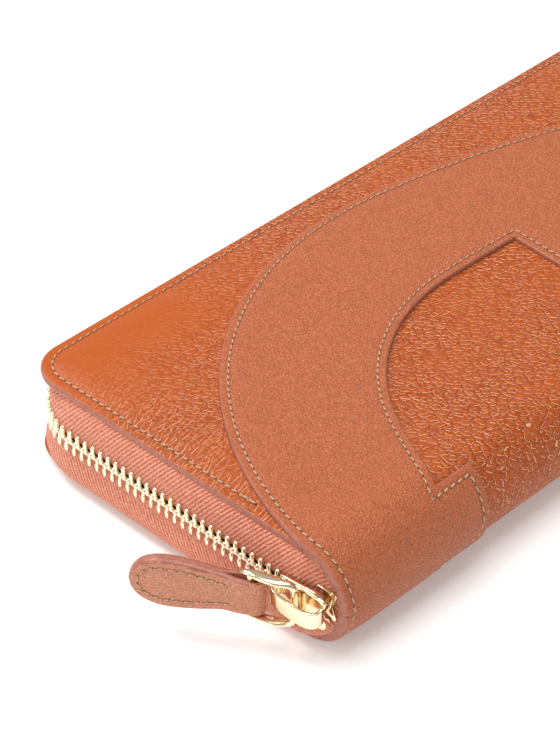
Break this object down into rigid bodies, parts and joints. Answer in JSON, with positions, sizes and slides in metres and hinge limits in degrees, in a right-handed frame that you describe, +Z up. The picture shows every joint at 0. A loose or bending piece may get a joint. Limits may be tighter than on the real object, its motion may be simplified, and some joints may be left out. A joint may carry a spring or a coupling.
{
  "type": "zip around wallet",
  "caption": "Long leather zip around wallet with a curved smooth overlay, metal zip and leaf-shaped leather pull; opens to card panels and a zipped coin pocket.",
  "frame": {"origin": "bottom centre of the whole closed wallet, with its pull, on the surface it lies on", "axes": "+X along the spine away from the parked slider, +Y from the spine towards the long side of the zip, +Z up out of the front cover"},
  "size_m": [0.2212, 0.1023, 0.026],
  "materials": {
    "grained_leather": "pebbled orange-tan cowhide, satin",
    "smooth_leather": "fine smooth tan leather, matt, painted edges",
    "inner_leather": "thin smooth tan leather",
    "lining_leather": "thin matt lining",
    "foam": "thin padding foam",
    "board": "fibre stiffener board",
    "zip_tape": "woven herringbone tape, coral",
    "zip_metal": "pale gold plated teeth",
    "pull_metal": "polished pale gold plate"
  },
  "bodies": {
    "back_cover": {"back_leather": "grained_leather", "back_foam": "foam", "back_board": "board", "back_lining": "lining_leather", "back_overlay": "smooth_leather", "back_zip_tape": "zip_tape", "back_zip_teeth": "zip_metal", "back_top_stop": "zip_metal", "zip_bottom_stop": "zip_metal", "back_card_backing": "inner_leather", "back_card_tier_upper": "inner_leather", "back_card_tier_middle": "inner_leather", "back_card_tier_lower": "inner_leather", "back_bill_base": "inner_leather", "back_gusset_left": "lining_leather", "back_gusset_right": "lining_leather"},
    "spine": {"spine_leather": "grained_leather", "spine_lining": "lining_leather", "spine_overlay": "smooth_leather", "coin_pocket_front_wall": "inner_leather", "coin_pocket_back_wall": "inner_leather", "coin_pocket_base": "inner_leather", "coin_pocket_side_strips": "inner_leather", "coin_zip_tapes": "zip_tape", "coin_zip_teeth": "zip_metal"},
    "front_cover": {"front_leather": "grained_leather", "front_foam": "foam", "front_board": "board", "front_lining": "lining_leather", "front_overlay": "smooth_leather", "front_zip_tape": "zip_tape", "front_zip_teeth": "zip_metal", "front_top_stop": "zip_metal", "front_card_backing": "inner_leather", "front_card_tier_upper": "inner_leather", "front_card_tier_middle": "inner_leather", "front_card_tier_lower": "inner_leather", "front_bill_base": "inner_leather", "front_gusset_left": "lining_leather", "front_gusset_right": "lining_leather"},
    "zip_slider": {"zip_slider": "pull_metal"},
    "pull_bail": {"pull_bail": "pull_metal", "pull_pin": "pull_metal"},
    "pull_tab": {"pull_tab": "smooth_leather"},
    "coin_slider": {"coin_slider": "pull_metal"},
    "coin_pull": {"coin_pull": "pull_metal"}
  },
  "joints": [
    {"name": "spine_fold", "type": "hinge", "parent": "back_cover", "child": "spine", "pos_m": [0.01034, -0.04734, 0.00381], "axis": [1, 0, 0], "range_deg": [0, 45], "deforming": ["back_gusset_left", "back_gusset_right"]},
    {"name": "cover_fold", "type": "hinge", "parent": "spine", "child": "front_cover", "pos_m": [0.01034, -0.04734, 0.02219], "axis": [1, 0, 0], "range_deg": [0, 45], "deforming": ["front_gusset_left", "front_gusset_right"]},
    {"name": "zip_slide", "type": "slide", "parent": "back_cover", "child": "zip_slider", "axis": [0, 1, 0], "range_m": [0, 0.062]},
    {"name": "bail_swing", "type": "hinge", "parent": "zip_slider", "child": "pull_bail", "pos_m": [-0.09266, -0.04015, 0.013], "axis": [0, 0, 1], "range_deg": [-10, 100]},
    {"name": "tab_swing", "type": "hinge", "parent": "pull_bail", "child": "pull_tab", "pos_m": [-0.09634, -0.03106, 0.013], "axis": [0, 0, 1], "range_deg": [-20, 60]},
    {"name": "coin_slide", "type": "slide", "parent": "spine", "child": "coin_slider", "axis": [1, 0, 0], "range_m": [0, 0.14]},
    {"name": "coin_pull_swing", "type": "hinge", "parent": "coin_slider", "child": "coin_pull", "pos_m": [-0.06127, 0.03875, 0.013], "axis": [0, 0, 1], "range_deg": [0, 15]}
  ],
  "couplings": [
    {"joint": "cover_fold", "follows": "spine_fold", "ratio": 1}
  ]
}
